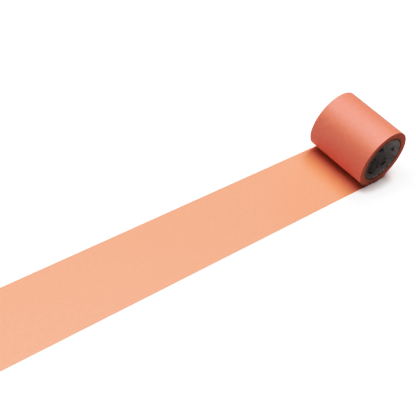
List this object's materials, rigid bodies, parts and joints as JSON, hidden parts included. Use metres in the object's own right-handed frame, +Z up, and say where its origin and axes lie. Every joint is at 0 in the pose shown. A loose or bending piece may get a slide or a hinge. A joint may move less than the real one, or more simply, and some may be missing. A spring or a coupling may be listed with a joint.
{
  "type": "adhesive paper tape roll",
  "caption": "Wide roll of translucent peach paper tape on a spiral-wound board core, lying on its side with a long flat strip of tape drawn off from under it.",
  "frame": {"origin": "middle of the core's bore, half way along the roll", "axes": "+Y along the bore, +Z up from the surface that the tape lies on, and the laid tape runs from under the roll towards -X"},
  "size_m": [0.358, 0.05, 0.046],
  "materials": {
    "printed_liner": "satin",
    "core_board": "matte",
    "wound_paper": "satin",
    "tape_paper": "satin",
    "adhesive": "satin"
  },
  "bodies": {
    "laid_tape": {"strip_backing": "tape_paper", "strip_adhesive": "adhesive"},
    "nip": {"nip_backing": "tape_paper", "nip_adhesive": "adhesive"},
    "roll": {"core_liner": "printed_liner", "core_ply_inner": "core_board", "core_ply_middle": "core_board", "core_ply_outer": "core_board", "wound_tape": "wound_paper", "lap_backing": "tape_paper", "lap_adhesive": "adhesive"}
  },
  "joints": [
    {"name": "roll_travel", "type": "slide", "parent": "laid_tape", "child": "nip", "axis": [1, 0, 0], "range_m": [-0.289, 0], "deforming": ["strip_backing", "strip_adhesive"]},
    {"name": "roll_spin", "type": "hinge", "parent": "nip", "child": "roll", "pos_m": [0, 0, 0], "axis": [0, 1, 0], "range_deg": [-720, 0], "deforming": ["nip_backing", "nip_adhesive"]}
  ],
  "couplings": [
    {"joint": "roll_spin", "follows": "roll_travel", "rad_per_m": 43.478}
  ]
}
